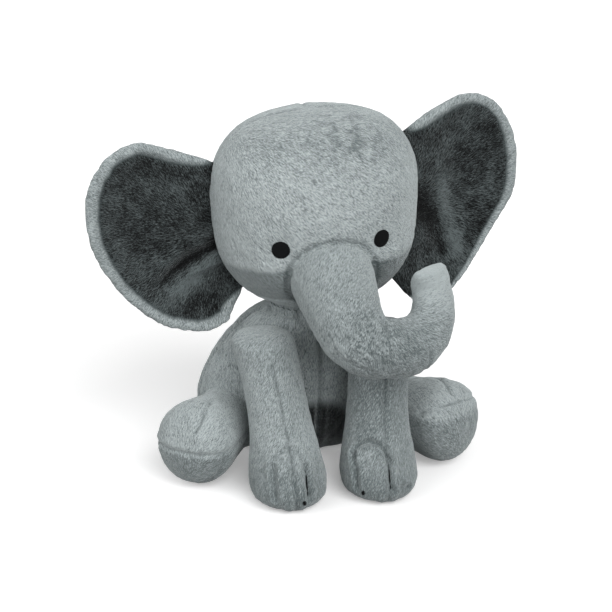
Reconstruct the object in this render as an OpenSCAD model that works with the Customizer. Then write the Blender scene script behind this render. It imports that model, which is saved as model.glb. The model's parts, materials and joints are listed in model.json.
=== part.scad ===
// Sitting stuffed elephant: sewn plush panels over fibre filling.
// X is the toy's left, -Y its front, Z up. The origin is on the floor under the middle of the toy.

/* [Head] */
// Half width of the head at its widest level
head_half_w = 62; // [58:1:64]
// Half depth of the head at its widest level
head_half_d = 55; // [52:1:58]
// Height of the widest level of the head
head_level = 170; // [166:1:174]
// Height of the crown above the widest level
crown_h = 56; // [50:1:60]
// Depth of the chin below the widest level
chin_h = 68; // [66:1:70]
// How many degrees the head is tipped to its right
head_tip = 3; // [0:0.5:4]
// Diameter of an embroidered eye
eye_d = 11; // [8:0.5:13]
// Angle from the middle of the face to an eye
eye_angle = 30; // [26:1:34]

/* [Torso] */
// Half width of the torso at the haunches
torso_half_w = 69; // [64:1:70]
// Height of the torso at the neck seam
torso_h = 99; // [96:1:100]
// Radius of the filling in the neck
neck_r = 26; // [23:0.5:27]

/* [Trunk] */
// Radius of the trunk at its root
trunk_root_r = 25.5; // [23:0.5:26.5]
// Radius of the trunk at its bend
trunk_bend_r = 18; // [16:0.5:18.5]
// Radius of the trunk at its blunt end
trunk_end_r = 11; // [9:0.5:13]

/* [Ears] */
// Half width of the oval of an ear
ear_half_w = 44; // [40:1:46]
// Half length of the oval of an ear
ear_half_h = 61; // [56:1:63]
// How many degrees the top of an ear leans outward
ear_lean = 27; // [20:1:32]
// How much lower the right ear hangs
ear_right_drop = 7; // [0:1:8]
// How many degrees further back the left ear stands
ear_left_sweep = 14; // [0:1:18]
// How far an ear is cupped
ear_cup = 11; // [6:0.5:13]

/* [Legs] */
// Radius of a front leg at the shoulder
shoulder_r = 20; // [18:0.5:20.5]
// Radius of a hind leg at the hip
hip_r = 24; // [21:0.5:25]

/* [Tail] */
// Radius of the tail at its root
tail_r = 6; // [5:0.5:6.5]

/* [Fabric] */
// Thickness of the plush fabric with its pile
fabric = 1.8; // [1.2:0.1:2.4]
// Gap between a soft piece and its neighbour
gap = 0.9; // [0.8:0.1:1.2]

/* [Hidden] */

grey = "#9aa3a4";
dark_grey = "#3c4647";
cheek_grey = "#79837f";
thread = "#141616";
fibre = "#f2f1ec";
clear = 0.6;          // room round a stuffed joint
seam = 0.3;           // half a seam, in degrees round a part

// Pivots of the sewn joints
neck = [0, 15, 104];
trunk_root = [0, -36, 133];
trunk_bend = [28, -75, 100];
shoulder = [37, -21, 92];
hip = [48, 20, 28];
hind_turn = 38;       // how far a hind leg points outward
tail_root = [0, 76, 52];

// ---- Curves and surfaces ----

function unit(a) = a / norm(a);

// A smooth curve through the rows of k, at t from 0 to len(k) - 1
function smooth_row(k, t) =
    let (n = len(k) - 1, i = max(0, min(n - 1, floor(t))), f = t - i,
         a = k[max(0, i - 1)], b = k[i], c = k[i + 1], e = k[min(n, i + 2)])
    b + 0.5 * f * ((c - a) + f * ((2 * a - 5 * b + 4 * c - e) + f * (3 * b - a - 3 * c + e)));

// Rows of k are [x, y, z, half width, half depth]: level rings, stacked from the bottom up
function stack_point(k, u, t, d) =
    let (row = smooth_row(k, t), n = len(k) - 1,
         step = smooth_row(k, min(n, t + 0.1)) - smooth_row(k, max(0, t - 0.1)),
         slope = atan2(-(step[3] + step[4]) / 2, step[2]))
    [row[0] + (row[3] + d * cos(slope)) * sin(u),
     row[1] - (row[4] + d * cos(slope)) * cos(u),
     row[2] + d * sin(slope)];

// Rows of k are [x, y, z, radius]: round rings square to a bent spine
function tube_point(k, side, u, t, d) =
    let (row = smooth_row(k, t), n = len(k) - 1,
         step = smooth_row(k, min(n, t + 0.1)) - smooth_row(k, max(0, t - 0.1)),
         along = [step[0], step[1], step[2]], ahead = unit(along),
         across = unit(cross(side, ahead)), up = cross(ahead, across),
         slope = atan2(-step[3], norm(along)), r = row[3] + d * cos(slope))
    [row[0], row[1], row[2]] + r * (across * cos(u) + up * sin(u)) + d * sin(slope) * ahead;

function grid(f, u, v, nu, nv, d) =
    [for (j = [0:nv]) for (i = [0:nu])
        f(u[0] + (u[1] - u[0]) * i / nu, v[0] + (v[1] - v[0]) * j / nv, d)];

// Two triangles of a grid cell whose first corner is a, facing out, or in when flip is true
function cell(a, b, c, e, flip) = flip ? [[a, b, c], [a, c, e]] : [[a, c, b], [a, e, c]];

// A piece of fabric: the surface f over u and v, from the offset top down to the offset under
module fabric_piece(f, u, v, nu, nv, top = 0, under = -fabric) {
    w = nu + 1;
    m = w * (nv + 1);
    faces = concat(
        [for (j = [0:nv - 1]) for (i = [0:nu - 1])
            each cell(j * w + i, j * w + i + 1, (j + 1) * w + i + 1, (j + 1) * w + i, false)],
        [for (j = [0:nv - 1]) for (i = [0:nu - 1])
            each cell(m + j * w + i, m + j * w + i + 1, m + (j + 1) * w + i + 1,
                      m + (j + 1) * w + i, true)],
        [for (i = [0:nu - 1]) each cell(i, m + i, m + i + 1, i + 1, false)],
        [for (i = [0:nu - 1]) each cell(nv * w + i, nv * w + i + 1, m + nv * w + i + 1,
                                        m + nv * w + i, false)],
        [for (j = [0:nv - 1]) each cell(j * w, (j + 1) * w, m + (j + 1) * w, m + j * w, false)],
        [for (j = [0:nv - 1]) each cell(j * w + nu, m + j * w + nu, m + (j + 1) * w + nu,
                                        (j + 1) * w + nu, false)]);
    polyhedron(concat(grid(f, u, v, nu, nv, top), grid(f, u, v, nu, nv, under)), faces);
}

// A filling: the closed surface f all round, at the offset d
module filling(f, v, nu, nv, d = -fabric - gap) {
    points = [for (j = [0:nv]) for (i = [0:nu - 1])
        f(360 * i / nu, v[0] + (v[1] - v[0]) * j / nv, d)];
    faces = concat(
        [for (j = [0:nv - 1]) for (i = [0:nu - 1])
            each cell(j * nu + i, j * nu + (i + 1) % nu, (j + 1) * nu + (i + 1) % nu,
                      (j + 1) * nu + i, false)],
        [for (i = [1:nu - 2]) [0, i, i + 1]],
        [for (i = [1:nu - 2]) [nv * nu, nv * nu + i + 1, nv * nu + i]]);
    polyhedron(points, faces);
}

module ball(at, r) translate(at) sphere(r, $fn = 48);

module both_sides(at, r) for (s = [-1, 1]) ball([s * at[0], at[1], at[2]], r);

module on_right() mirror([1, 0, 0]) children();

// ---- Torso ----

torso_rows = [
    [0, 46, 0, torso_half_w - 26, 27],
    [0, 44, 4, torso_half_w - 12, 36],
    [0, 40, 17, torso_half_w - 3, 44],
    [0, 36, 38, torso_half_w, 46],
    [0, 30, 58, torso_half_w - 5, 43],
    [0, 23, 78, torso_half_w - 16, 37],
    [0, 18, torso_h - 6, torso_half_w - 27, 31],
    [0, 16, torso_h, torso_half_w - 37, 26],
];
torso_end = len(torso_rows) - 1;

// Everything that is sewn into the torso takes this room from it
module torso_openings(extra = 0) {
    ball(neck, neck_r + clear + extra);
    both_sides(hip, hip_r + 4 * clear + extra);
    both_sides(shoulder, shoulder_r + 2 * clear + extra);
    for (s = [-1, 1])
        translate([s * shoulder[0], shoulder[1], shoulder[2]])
            rotate([-17, 0, 0]) rotate([0, s * 8, 0])
                translate([0, 0, -60])
                    cylinder(h = 60, r = shoulder_r + 1.5 * clear + extra, $fn = 48);
    ball(tail_root, tail_r + 3 * clear + extra);
}

module torso_panel(u) color(grey) difference() {
    fabric_piece(function (u, t, d) stack_point(torso_rows, u, t, d), u,
                 [0.25, torso_end], 10, 12);
    torso_openings();
}

module torso_front_left() torso_panel([seam, 90 - seam]);
module torso_front_right() torso_panel([-90 + seam, -seam]);
module torso_back_left() torso_panel([90 + seam, 180 - seam]);
module torso_back_right() torso_panel([180 + seam, 270 - seam]);

module torso_stuffing() color(fibre) difference() {
    filling(function (u, t, d) stack_point(torso_rows, u, t, d), [0.75, torso_end], 32, 12);
    torso_openings(gap);
}

module seat_panel() color(grey)
    linear_extrude(fabric)
        polygon([for (u = [0:7.5:359])
            let (row = torso_rows[0], shrink = fabric + 0.4)
            [(row[3] - shrink) * sin(u), row[1] - (row[4] - shrink) * cos(u)]]);

// Ladder stitch over the stuffing opening, on the middle back seam
module closing_stitch() color(grey)
    for (i = [0:6])
        let (p = stack_point(torso_rows, 180, 4.6 + i * 0.2, 0.9))
        translate(p) rotate([0, 90, 0]) cylinder(h = 5, d = 1, center = true, $fn = 16);

module care_label() color("white")
    let (p = stack_point(torso_rows, 180, 1.9, 0.9))
    translate([6, p[1] - 0.2, p[2] - 9]) rotate([4, 0, 0]) cube([16, 0.5, 12]);

// ---- Neck ----

module neck_stuffing() color(fibre) ball(neck, neck_r);

module neck_stitch_ring() color(grey)
    translate(neck) rotate_extrude($fn = 96)
        translate([neck_r + 0.35, 0]) circle(d = 0.5, $fn = 16);

// ---- Head ----

// Rings of the head stand at angles above and below its widest level
head_mid = [0, 8, head_level];
crown_power = 0.68;
chin_power = 0.84;
function head_row(a) =
    let (up = a > 0, lift = up ? crown_h : chin_h, round = cos(a) ^ (up ? crown_power : chin_power))
    [head_mid[0], head_mid[1], head_level + lift * sin(a), head_half_w * round, head_half_d * round];
head_rows = [for (a = [-88:8.8:88]) head_row(a)];
head_end = len(head_rows) - 1;
cheek_t = 7.2;        // ring of the seam over the cheeks
chin_t = 4.4;         // ring of the seam under the cheeks

function head_point(u, t, d) = stack_point(head_rows, u, t, d);

// The head, the ears and the trunk are tipped together
module tipped() translate(head_mid) rotate([0, -head_tip, 0]) translate(-head_mid) children();

module head_openings() {
    ball(neck, neck_r + clear + 0.4);
    tipped() ball(trunk_root, trunk_root_r + clear);
}

module head_panel(tint, u, t, nu, nt) color(tint) difference() {
    tipped() fabric_piece(function (u, t, d) head_point(u, t, d), u, t, nu, nt);
    head_openings();
}

module face_panel() head_panel(grey, [-90 + seam, 90 - seam], [cheek_t, head_end], 18, 10);
module cheek_left() head_panel(cheek_grey, [seam, 90 - seam], [chin_t, cheek_t - 0.03], 9, 3);
module cheek_right() head_panel(cheek_grey, [-90 + seam, -seam], [chin_t, cheek_t - 0.03], 9, 3);
module chin_panel() head_panel(grey, [-90 + seam, 90 - seam], [0, chin_t - 0.03], 18, 5);
module head_back_left() head_panel(grey, [90 + seam, 180 - seam], [0, head_end], 9, 14);
module head_back_right() head_panel(grey, [180 + seam, 270 - seam], [0, head_end], 9, 14);

module head_stuffing() color(fibre) difference() {
    tipped() filling(function (u, t, d) head_point(u, t, d), [0, head_end], 32, 16);
    head_openings();
}

// Flat satin-stitched disc with a rounded edge, on the face
module eye(side) color(thread) tipped()
    let (t = 8.55, p = head_point(side * eye_angle, t, 0.15),
         q = head_point(side * eye_angle, t, 2.15), out = (q - p) / 2)
    translate(p) rotate([0, acos(out[2] / norm(out)), atan2(out[1], out[0])])
        rotate_extrude($fn = 48)
            polygon([[0, 0], [eye_d / 2, 0], [eye_d / 2, 0.4], [eye_d / 2 - 0.6, 0.9], [0, 1.1]]);

module eye_left() eye(1);
module eye_right() eye(-1);

// ---- Ears ----

// The ear's middle surface: p runs from the head seam to the rim, q from bottom to top
function ear_mid(p, q) =
    let (a = -97 + 211 * q, wide = ear_half_w * cos(a), high = ear_half_h * sin(a),
         rim = [84 + wide * cos(ear_lean) + high * sin(ear_lean), 8 - 6 * sin(180 * q),
                162 - wide * sin(ear_lean) + high * cos(ear_lean)],
         z = 121 + 84 * q, up = z > head_level,
         s = (z - head_level) / (up ? crown_h : chin_h),
         reach = head_half_w * (1 - s * s) ^ ((up ? crown_power : chin_power) / 2),
         root = [reach + 3.4, 12, z])
    root + (rim - root) * p + [0, ear_cup * sin(180 * p) * (0.35 + 0.65 * sin(180 * q)), 0];

function ear_half_t(p, q) = 2.8 + 2.2 * sin(180 * p) * sin(180 * q);

// s is -1 on the back of the ear, 1 on its front, and between on its outer edge
function ear_point(p, q, s, d) =
    let (a = ear_mid(p, q), b = ear_mid(p - 0.02, q), h = ear_half_t(p, q) + d)
    a + [0, -h * s, 0] + h * sqrt(max(0, 1 - s * s)) * unit(a - b);

// Back panel, round the outer edge and on to the front as a rim
function ear_wrap(w, q, d) =
    w < 0.8 ? ear_point(w / 0.8, q, -1, d)
    : w < 0.9 ? ear_point(1, q, sin(90 * (w - 0.85) / 0.05), d)
    : ear_point(1 - 1.35 * (w - 0.9), q, 1, d);

// Drawn as the left ear, which stands further back about its seam. The right one is its mirror
// image and hangs lower.
ear_seam = [62, 12, 160];
ear_right_scale = 1.05;   // the right ear is stuffed a little wider
module ear_place(side) tipped()
    if (side < 0)
        translate([0, 0, -ear_right_drop]) on_right()
            translate(ear_seam) scale([ear_right_scale, 1, ear_right_scale]) translate(-ear_seam)
                children();
    else
        translate(ear_seam) rotate([0, 0, ear_left_sweep]) translate(-ear_seam) children();

module ear_back(side) color(grey) ear_place(side)
    fabric_piece(function (q, w, d) ear_wrap(w, q, d), [0.02, 0.98], [0, 1], 14, 20);

module ear_lining(side) color(dark_grey) ear_place(side)
    fabric_piece(function (q, p, d) ear_point(p, q, 1, d), [0.98, 0.02], [0, 0.855], 14, 8);

module ear_batting(side) color(fibre) ear_place(side)
    fabric_piece(function (q, p, s) ear_point(p, q, s, -fabric - 0.6), [0.9, 0.1],
                 [0.08, 0.85], 12, 8, 1, -1);

module ear_left_back() ear_back(1);
module ear_left_lining() ear_lining(1);
module ear_left_batting() ear_batting(1);
module ear_right_back() ear_back(-1);
module ear_right_lining() ear_lining(-1);
module ear_right_batting() ear_batting(-1);

// ---- Trunk ----

// Round end of a stuffed tube whose centre is at and that points ahead, from its back forward
function round_end(at, ahead, r, last) =
    [for (a = [178:(last - 178) / 6:last + 0.1])
        let (c = at + ahead * r * cos(a)) [c[0], c[1], c[2], r * sin(a)]];

root_ahead = unit([2, -27, -16]);
bend_ahead = unit([26, -2, -4]);
root_rows = concat(
    round_end(trunk_root, root_ahead, trunk_root_r, 58),
    [[2, -61, 117, 21.5], [6, -71, 107, 20], [16, -75.5, 101.5, 18.8],
     [trunk_bend[0], trunk_bend[1], trunk_bend[2], trunk_bend_r]]);
tip_rows = concat(
    round_end(trunk_bend, bend_ahead, trunk_bend_r, 62),
    [[43, -72, 102, 16], [52, -67, 111, 14], [54, -62, 124, 12.2], [53, -58, 135, trunk_end_r],
     [52, -56, 143, trunk_end_r]]);
root_end = len(root_rows) - 1;
tip_end = len(tip_rows) - 1;
root_side = unit([0.2, -0.5, 0.8]);
tip_side = unit([0.08, -0.87, 0.3]);

function root_point(u, t, d) = tube_point(root_rows, root_side, u, t, d);
function tip_point(u, t, d) = tube_point(tip_rows, tip_side, u, t, d);

module bend_pocket() ball(trunk_bend, trunk_bend_r + clear);

module trunk_root_panel(u) color(grey) tipped() difference() {
    fabric_piece(function (u, t, d) root_point(u, t, d), u, [0, root_end], 9, 14);
    bend_pocket();
}

module trunk_root_top() trunk_root_panel([0.5, 179.5]);
module trunk_root_under() trunk_root_panel([180.5, 359.5]);

module trunk_root_stuffing() color(fibre) tipped() difference() {
    filling(function (u, t, d) root_point(u, t, d), [0.3, root_end], 20, 12);
    bend_pocket();
}

module trunk_tip_panel(u) color(grey) tipped()
    fabric_piece(function (u, t, d) tip_point(u, t, d), u, [0, tip_end - 0.2], 8, 14);

module trunk_tip_top() trunk_tip_panel([0.6, 179.4]);
module trunk_tip_under() trunk_tip_panel([180.6, 359.4]);

module trunk_tip_stuffing() color(fibre) tipped()
    filling(function (u, t, d) tip_point(u, t, d), [0.3, tip_end - 0.3], 16, 12);

// The blunt end is a round piece of fabric
module trunk_tip_end() color(grey) tipped()
    filling(function (u, t, d) tip_point(u, t, d), [tip_end - 0.18, tip_end], 16, 1, -0.2);

// ---- Front legs ----

leg_rows = [
    [28, -52, 0, 17, 21],
    [28, -52, 3, 22, 25],
    [28, -50, 13, 24.5, 27],
    [28.5, -46, 26, 22.5, 24.5],
    [29.5, -39, 41, 20, 21],
    [31.5, -32, 58, 19, 19.5],
    [34, -25, 76, shoulder_r - 0.7, shoulder_r - 0.4],
    [shoulder[0], -21, 90, shoulder_r, shoulder_r],
    [shoulder[0], -20, shoulder[2] + shoulder_r * sin(28), shoulder_r * cos(28), shoulder_r * cos(28)],
    [shoulder[0], -20, shoulder[2] + shoulder_r * sin(58), shoulder_r * cos(58), shoulder_r * cos(58)],
    [shoulder[0], -20, shoulder[2] + shoulder_r * sin(85), shoulder_r * cos(85), shoulder_r * cos(85)],
];
leg_end = len(leg_rows) - 1;

function leg_point(u, t, d) = stack_point(leg_rows, u, t, d);

module leg_panel(u) color(grey)
    fabric_piece(function (u, t, d) leg_point(u, t, d), u, [0.25, leg_end], 9, 15);

module front_leg_left_outer() leg_panel([0.6, 179.4]);
module front_leg_left_inner() leg_panel([180.6, 359.4]);

module front_leg_left_sole() color(grey)
    linear_extrude(fabric)
        polygon([for (u = [0:10:359])
            let (row = leg_rows[0], shrink = 1.2)
            [row[0] + (row[3] - shrink) * sin(u), row[1] - (row[4] - shrink) * cos(u)]]);

module front_leg_left_stuffing() color(fibre)
    filling(function (u, t, d) leg_point(u, t, d), [0.75, leg_end], 18, 14);

// Two threads down the front of the foot, with a pinch knot near the foot of each.
// The feet are turned a little, so the threads sit at their own angles on each one
module toe_stitches(threads, knots) color(thread) {
    for (u = threads)
        let (top = leg_point(u, 2.9, 1.25), low = leg_point(u, 2.0, 1.25), run = top - low) {
            translate(low) rotate([0, acos(run[2] / norm(run)), atan2(run[1], run[0])])
                cylinder(h = norm(run), d = 0.9, $fn = 16);
        }
    for (u = knots)
        translate(leg_point(u, 1.65, 1.65)) sphere(d = 2, $fn = 24);
}

module front_leg_left_toe_stitches() toe_stitches([-50, 5], [-41, 5]);

module front_leg_right_outer() on_right() front_leg_left_outer();
module front_leg_right_inner() on_right() front_leg_left_inner();
module front_leg_right_sole() on_right() front_leg_left_sole();
module front_leg_right_stuffing() on_right() front_leg_left_stuffing();
module front_leg_right_toe_stitches() on_right() toe_stitches([-18, 32], [-11, 32]);

// ---- Hind legs ----

// Along its own length from the hip (0) to the sole, with the half width and half height there
hind_rows = concat(
    [for (a = [178:-24:58])
        [0, 0, hip_r * cos(a), hip_r * sin(a), hip_r * sin(a)]],
    [[0, 0, 24, 22, 22.5], [0, 0, 40, 24.5, 25.5], [0, 0, 50, 26, 27], [0, 0, 58.5, 23.5, 24.5],
     [0, 0, 64, 17, 18], [0, 0, 66.8, 8.5, 9], [0, 0, 67.6, 0.8, 0.8]]);
hind_end = len(hind_rows) - 1;
sole_t = hind_end - 3.2;   // the sole starts here, on the under side of the foot

function hind_point(u, t, d) = stack_point(hind_rows, u, t, d);

module hind_place() translate(hip) rotate([0, 0, hind_turn]) rotate([90, 0, 0]) children();

module hind_panel(u, t, nt = 12) color(grey) hind_place()
    fabric_piece(function (u, t, d) hind_point(u, t, d), u, t, 9, nt);

// The upper panel runs over the toe, and meets the lower panel and the sole at a level seam
module hind_leg_left_upper() hind_panel([90.6, 269.4], [0, hind_end], 15);
module hind_leg_left_lower() hind_panel([-89.4, 89.4], [0, sole_t]);
module hind_leg_left_sole() hind_panel([-89.4, 89.4], [sole_t + 0.03, hind_end], 7);

module hind_leg_left_stuffing() color(fibre) hind_place()
    filling(function (u, t, d) hind_point(u, t, d), [0, hind_end - 0.3], 20, 14);

module hind_leg_right_upper() on_right() hind_leg_left_upper();
module hind_leg_right_lower() on_right() hind_leg_left_lower();
module hind_leg_right_sole() on_right() hind_leg_left_sole();
module hind_leg_right_stuffing() on_right() hind_leg_left_stuffing();

// ---- Tail ----

tail_rows = concat(
    round_end(tail_root, unit([0, 0.95, -0.3]), tail_r, 62),
    [[0, 86, 47, 4.6], [0, 91, 38, 4.2], [0, 92.5, 27, 3.8], [0, 92.5, 18, 3.6],
     [0, 92.5, 15, 1.5]]);
tail_end = len(tail_rows) - 1;

function tail_point(u, t, d) = tube_point(tail_rows, [1, 0, 0], u, t, d);

module tail_stuffing() color(fibre)
    filling(function (u, t, d) tail_point(u, t, d), [0.4, tail_end - 0.5], 12, 10);

module tail_cover() color(grey)
    fabric_piece(function (u, t, d) tail_point(u, t, d), [2, 358], [0.2, tail_end], 14, 12);

// ---- Which node is drawn ----

torso_front_left();
torso_front_right();
torso_back_left();
torso_back_right();
seat_panel();
torso_stuffing();
closing_stitch();
care_label();
neck_stuffing();
neck_stitch_ring();
face_panel();
cheek_left();
cheek_right();
chin_panel();
head_back_left();
head_back_right();
head_stuffing();
eye_left();
eye_right();
ear_left_back();
ear_left_lining();
ear_left_batting();
ear_right_back();
ear_right_lining();
ear_right_batting();
trunk_root_top();
trunk_root_under();
trunk_root_stuffing();
trunk_tip_top();
trunk_tip_under();
trunk_tip_end();
trunk_tip_stuffing();
front_leg_left_outer();
front_leg_left_inner();
front_leg_left_sole();
front_leg_left_stuffing();
front_leg_left_toe_stitches();
front_leg_right_outer();
front_leg_right_inner();
front_leg_right_sole();
front_leg_right_stuffing();
front_leg_right_toe_stitches();
hind_leg_left_upper();
hind_leg_left_lower();
hind_leg_left_sole();
hind_leg_left_stuffing();
hind_leg_right_upper();
hind_leg_right_lower();
hind_leg_right_sole();
hind_leg_right_stuffing();
tail_cover();
tail_stuffing();
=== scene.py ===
import json
import math

import bmesh
import bpy
import numpy as np
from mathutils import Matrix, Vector
from mathutils.bvhtree import BVHTree
from mathutils.kdtree import KDTree


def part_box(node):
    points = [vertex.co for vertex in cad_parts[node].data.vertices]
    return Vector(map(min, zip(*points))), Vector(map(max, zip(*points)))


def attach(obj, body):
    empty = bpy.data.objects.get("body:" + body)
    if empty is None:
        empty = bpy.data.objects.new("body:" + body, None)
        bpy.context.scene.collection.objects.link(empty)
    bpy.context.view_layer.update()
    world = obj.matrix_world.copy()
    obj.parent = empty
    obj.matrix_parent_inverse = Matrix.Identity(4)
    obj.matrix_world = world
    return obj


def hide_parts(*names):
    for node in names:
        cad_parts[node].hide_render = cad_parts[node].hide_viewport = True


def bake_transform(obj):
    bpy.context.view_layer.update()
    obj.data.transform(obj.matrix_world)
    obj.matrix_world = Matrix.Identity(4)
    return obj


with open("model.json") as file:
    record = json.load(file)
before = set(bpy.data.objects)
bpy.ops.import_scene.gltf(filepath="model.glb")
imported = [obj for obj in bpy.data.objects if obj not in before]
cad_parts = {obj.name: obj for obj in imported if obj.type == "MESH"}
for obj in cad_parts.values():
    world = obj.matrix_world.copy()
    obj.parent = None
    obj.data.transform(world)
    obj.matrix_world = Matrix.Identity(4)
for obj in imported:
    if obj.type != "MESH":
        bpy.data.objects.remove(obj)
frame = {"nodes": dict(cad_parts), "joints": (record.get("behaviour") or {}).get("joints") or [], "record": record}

MM = 0.001
RIM = 6.5               # how wide the back of an ear shows round its lining, mm
LINING_REACH = 3.0      # how far a lining turns past its CAD edge, mm
OFF_FLOOR = 0.3 * MM    # the least height of a skin over the floor
PARTED_AT = 0.62        # where the trunk is parted, as a share of the way from root to bend
# Where the toe threads cross each foot, and the knot that shows, in mm to the toy's left
THREADS = {"left": (10.5, 29.5), "right": (-40.0, -20.7)}
KNOT = {"left": 13.5, "right": -23.5}
# Seams of the hind feet, in mm, with x outwards from the middle of the toy
CAP_SEAM = {"left": ((80, -32, 47), (78, -26, 52.5), (76, -12, 53.5)),
            "right": ((81, -35.5, 41), (75.5, -31.5, 49), (69.5, -18, 52.5))}
ROLLED_SEAM = ((50, -25, 35), (60, -31, 40), (74, -35, 45), (86, -31, 45.5), (94, -24, 43.5),
               (99, -12, 41))
scene = bpy.context.scene
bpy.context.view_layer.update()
nodes = frame["nodes"]
pivots = {j["name"]: Vector(j["pos_m"]) for j in frame["joints"]}


# ---- Mesh tools ----

def mm(x, y, z):
    """A place or an offset that is given in millimetres."""
    return Vector((x * MM, y * MM, z * MM))


def middle(node):
    """The middle of a CAD piece's box."""
    lo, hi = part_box(node)
    return (Vector(lo) + Vector(hi)) / 2


def points_of(mesh):
    co = np.empty(len(mesh.vertices) * 3)
    mesh.vertices.foreach_get("co", co)
    return co.reshape(-1, 3)


def set_points(mesh, co):
    mesh.vertices.foreach_set("co", co.astype(np.float32).ravel())
    mesh.update()


def normals_of(mesh):
    n = np.empty(len(mesh.vertices) * 3)
    mesh.vertex_normals.foreach_get("vector", n)
    return n.reshape(-1, 3)


def new_object(name, mesh):
    obj = bpy.data.objects.new(name, mesh)
    scene.collection.objects.link(obj)
    return obj


def applied(obj):
    """Bakes the modifiers of obj into its mesh."""
    bpy.context.view_layer.update()
    mesh = bpy.data.meshes.new_from_object(obj.evaluated_get(bpy.context.evaluated_depsgraph_get()))
    old = obj.data
    obj.modifiers.clear()
    obj.data = mesh
    bpy.data.meshes.remove(old)
    return obj


def from_nodes(name, names, hull=False):
    """One object that holds copies of CAD nodes' meshes, or their convex hull."""
    bm = bmesh.new()
    for n in names:
        bm.from_mesh(nodes[n].data)
    if hull:
        bmesh.ops.convex_hull(bm, input=bm.verts)
        bmesh.ops.delete(bm, geom=[v for v in bm.verts if not v.link_faces], context="VERTS")
    bmesh.ops.recalc_face_normals(bm, faces=bm.faces)
    mesh = bpy.data.meshes.new(name)
    bm.to_mesh(mesh)
    bm.free()
    return new_object(name, mesh)


def remesh(obj, voxel):
    mod = obj.modifiers.new("voxels", "REMESH")
    mod.mode = "VOXEL"
    mod.voxel_size = voxel * MM
    applied(obj)
    keep_largest(obj)
    return obj


def keep_largest(obj):
    """Removes the shells that a remesh leaves inside the outer one."""
    bm = bmesh.new()
    bm.from_mesh(obj.data)
    left, shells = set(bm.verts), []
    while left:
        stack = [left.pop()]
        shell = [stack[0]]
        while stack:
            for e in stack.pop().link_edges:
                for v in e.verts:
                    if v in left:
                        left.remove(v)
                        stack.append(v)
                        shell.append(v)
        shells.append(shell)
    shells.sort(key=len)
    bmesh.ops.delete(bm, geom=[v for s in shells[:-1] for v in s], context="VERTS")
    bm.to_mesh(obj.data)
    bm.free()


def smooth(obj, repeat, factor=0.5):
    mod = obj.modifiers.new("smooth", "SMOOTH")
    mod.factor, mod.iterations = factor, repeat
    return applied(obj)


def inflate(obj, amount):
    set_points(obj.data, points_of(obj.data) + normals_of(obj.data) * amount * MM)
    return obj


def subdivide(obj, levels):
    mod = obj.modifiers.new("subdivide", "SUBSURF")
    mod.levels = mod.render_levels = levels
    return applied(obj)


def puff(obj, pressure, cap, seams=None, steps=20):
    """Blows the fabric up with air. Seams hold it back, and no point moves further than cap."""
    start = points_of(obj.data)
    group = obj.vertex_groups.new(name="pin")
    held = distance_to(seams, start) if seams else np.full(len(start), 1.0)
    for i in np.flatnonzero(held < 0.0035):
        group.add([int(i)], 1.0, "REPLACE")
    cloth = obj.modifiers.new("cloth", "CLOTH")
    s = cloth.settings
    s.use_pressure = True
    s.uniform_pressure_force = pressure
    s.effector_weights.gravity = 0
    s.quality = 4
    s.tension_stiffness = s.compression_stiffness = 8
    s.shear_stiffness = 4
    s.bending_stiffness = 0.6
    s.vertex_group_mass = "pin"
    cloth.collision_settings.use_collision = False
    cloth.point_cache.frame_start, cloth.point_cache.frame_end = 1, steps
    for f in range(1, steps + 1):
        scene.frame_set(f)
    applied(obj)
    scene.frame_set(1)
    obj.vertex_groups.clear()
    move = points_of(obj.data) - start
    far = np.linalg.norm(move, axis=1, keepdims=True) + 1e-9
    set_points(obj.data, start + move * np.minimum(1, cap * MM / far))
    return obj


# ---- Fields over a surface ----

def noise(p, seed=0):
    """Smooth random values from -1 to 1 at the points p, one cell to a unit."""
    cell = np.floor(p).astype(np.int64)
    f = p - cell
    f = f * f * (3 - 2 * f)
    total = 0
    for corner in range(8):
        d = np.array([corner & 1, corner >> 1 & 1, corner >> 2 & 1])
        c = cell + d
        h = (c[:, 0] * 73856093) ^ (c[:, 1] * 19349663) ^ (c[:, 2] * 83492791) ^ (seed * 2654435)
        h = (h ^ (h >> 13)) * 1274126177 & 0x7FFFFFFF
        h = (h ^ (h >> 15)) & 0xFFFF
        total = total + h / 32767.5 * np.prod(np.where(d, f, 1 - f), axis=1)
    return total - 1


def streaks(co, nap, size, length, seed):
    """Noise smeared along the nap, like the tufts of a short pile."""
    steps = np.linspace(-0.5, 0.5, 5) * length * MM
    return sum(noise((co + nap * s) / (size * MM), seed) for s in steps) / len(steps)


def tree_of(*names):
    bm = bmesh.new()
    for n in names:
        bm.from_mesh(nodes[n].data)
    tree = BVHTree.FromBMesh(bm)
    bm.free()
    return tree


def skin_tree(obj):
    return BVHTree.FromPolygons([v.co for v in obj.data.vertices],
                                [p.vertices for p in obj.data.polygons])


def point_tree(points):
    kd = KDTree(len(points))
    for i, p in enumerate(points):
        kd.insert(p, i)
    kd.balance()
    return kd


def seam_tree(names, reach=1.3):
    """The lines where CAD panels meet, as points a millimetre apart."""
    trees = {n: tree_of(n) for n in names}
    found = []
    for n in names:
        others = [t for m, t in trees.items() if m != n]
        co = [v.co for v in nodes[n].data.vertices]
        near = [any(t.find_nearest(v, reach * MM)[0] for t in others) for v in co]
        for e in nodes[n].data.edges:
            a, b = e.vertices
            if near[a] and near[b]:
                count = max(1, int((co[a] - co[b]).length / MM))
                found += [co[a].lerp(co[b], k / count) for k in range(count + 1)]
    return point_tree(found)


def distance_to(tree, co):
    return np.array([tree.find(p)[2] for p in co])


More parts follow.
